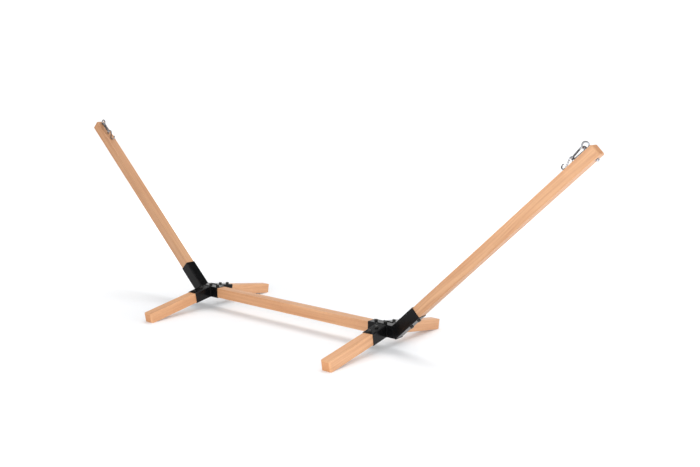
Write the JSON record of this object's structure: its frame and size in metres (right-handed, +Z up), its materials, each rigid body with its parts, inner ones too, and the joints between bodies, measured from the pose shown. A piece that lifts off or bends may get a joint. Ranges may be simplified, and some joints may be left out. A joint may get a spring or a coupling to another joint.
{
  "type": "hammock stand",
  "caption": "Free-standing timber hammock stand: low centre beam, sloping arms and splayed feet in black welded corner brackets, with a snap hook and S-hook at each arm tip.",
  "frame": {"origin": "on the floor under the middle of the centre beam", "axes": "+X along the centre beam towards the right arm, +Y towards the rear feet, +Z up"},
  "size_m": [3.6318, 1.0078, 1.1525],
  "materials": {
    "timber": "oiled softwood, honey tan, satin",
    "bracket_coating": "black powder coat, satin",
    "black_screw": "black zinc plate, satin",
    "black_washer": "black zinc plate, satin",
    "zinc_steel": "bright zinc plate",
    "gate_steel": "zinc plate, duller",
    "bare_steel": "bright spring steel"
  },
  "bodies": {
    "frame": {"centre_beam": "timber", "left_arm": "timber", "right_arm": "timber", "left_front_foot": "timber", "left_rear_foot": "timber", "right_front_foot": "timber", "right_rear_foot": "timber", "left_bracket": "bracket_coating", "right_bracket": "bracket_coating", "left_beam_screws": "black_screw", "left_arm_screws": "black_screw", "left_front_foot_screws": "black_screw", "left_rear_foot_screws": "black_screw", "right_beam_screws": "black_screw", "right_arm_screws": "black_screw", "right_front_foot_screws": "black_screw", "right_rear_foot_screws": "black_screw", "left_beam_washers": "black_washer", "left_arm_washers": "black_washer", "left_front_foot_washers": "black_washer", "left_rear_foot_washers": "black_washer", "right_beam_washers": "black_washer", "right_arm_washers": "black_washer", "right_front_foot_washers": "black_washer", "right_rear_foot_washers": "black_washer", "left_eye_bolt": "zinc_steel", "right_eye_bolt": "zinc_steel", "left_eye_washer": "zinc_steel", "right_eye_washer": "zinc_steel", "left_eye_nut": "zinc_steel", "right_eye_nut": "zinc_steel"},
    "left_snap_hook": {"left_snap_hook": "zinc_steel"},
    "left_gate": {"left_snap_gate": "gate_steel", "left_gate_rivet": "bare_steel", "left_gate_plunger": "bare_steel", "left_gate_spring": "bare_steel"},
    "left_s_hook": {"left_s_hook": "zinc_steel"},
    "right_snap_hook": {"right_snap_hook": "zinc_steel"},
    "right_gate": {"right_snap_gate": "gate_steel", "right_gate_rivet": "bare_steel", "right_gate_plunger": "bare_steel", "right_gate_spring": "bare_steel"},
    "right_s_hook": {"right_s_hook": "zinc_steel"}
  },
  "joints": [
    {"name": "left_snap_hook_swing", "type": "hinge", "parent": "frame", "child": "left_snap_hook", "pos_m": [-1.74136, 0, 1.13253], "axis": [0, -1, 0], "range_deg": [0, 150]},
    {"name": "left_gate_opening", "type": "hinge", "parent": "left_snap_hook", "child": "left_gate", "pos_m": [-1.69509, -0.00867, 1.0852], "axis": [-0.6405, -0.4695, -0.6078], "range_deg": [0, 18], "stiffness_Nm_per_rad": 0.2, "springref_deg": -20.05},
    {"name": "left_s_hook_swing", "type": "hinge", "parent": "left_snap_hook", "child": "left_s_hook", "pos_m": [-1.68505, 0, 1.06792], "axis": [0.3405, -0.8829, 0.3232], "range_deg": [0, 100]},
    {"name": "right_snap_hook_swing", "type": "hinge", "parent": "frame", "child": "right_snap_hook", "pos_m": [1.74136, 0, 1.13253], "axis": [0, 1, 0], "range_deg": [0, 150]},
    {"name": "right_gate_opening", "type": "hinge", "parent": "right_snap_hook", "child": "right_gate", "pos_m": [1.69509, -0.00867, 1.0852], "axis": [-0.6405, 0.4695, 0.6078], "range_deg": [0, 18], "stiffness_Nm_per_rad": 0.2, "springref_deg": -20.05},
    {"name": "right_s_hook_swing", "type": "hinge", "parent": "right_snap_hook", "child": "right_s_hook", "pos_m": [1.68505, 0, 1.06792], "axis": [0.3405, 0.8829, -0.3232], "range_deg": [0, 100]}
  ]
}
